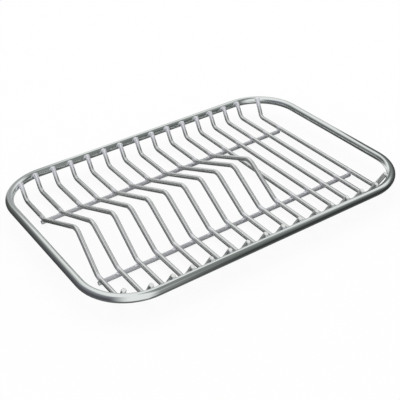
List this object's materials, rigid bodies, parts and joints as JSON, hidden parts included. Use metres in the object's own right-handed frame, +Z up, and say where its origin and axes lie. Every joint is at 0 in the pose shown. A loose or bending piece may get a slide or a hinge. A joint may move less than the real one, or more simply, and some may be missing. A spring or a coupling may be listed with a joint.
{
  "type": "wire draining rack",
  "caption": "Rounded rectangular wire rack with a thick rod rim, humped cross wires that part standing plates at one end, and flat cross wires for cups at the other.",
  "frame": {"origin": "under the middle of the rim, at the underside of the support wires", "axes": "+X along the long rails towards the flat wires, +Y towards the rear rail, +Z up"},
  "size_m": [0.42, 0.29, 0.0413],
  "materials": {
    "rim_rod": "polished",
    "wire": "polished"
  },
  "bodies": {
    "root": {"rim_frame": "rim_rod", "cross_wire_01": "wire", "cross_wire_02": "wire", "cross_wire_03": "wire", "cross_wire_04": "wire", "cross_wire_05": "wire", "cross_wire_06": "wire", "cross_wire_07": "wire", "cross_wire_08": "wire", "cross_wire_09": "wire", "cross_wire_10": "wire", "cross_wire_11": "wire", "cross_wire_12": "wire", "cross_wire_13": "wire", "cross_wire_14": "wire", "cross_wire_15": "wire", "cross_wire_16": "wire", "rear_support_wire": "wire", "front_support_wire": "wire"}
  },
  "joints": []
}
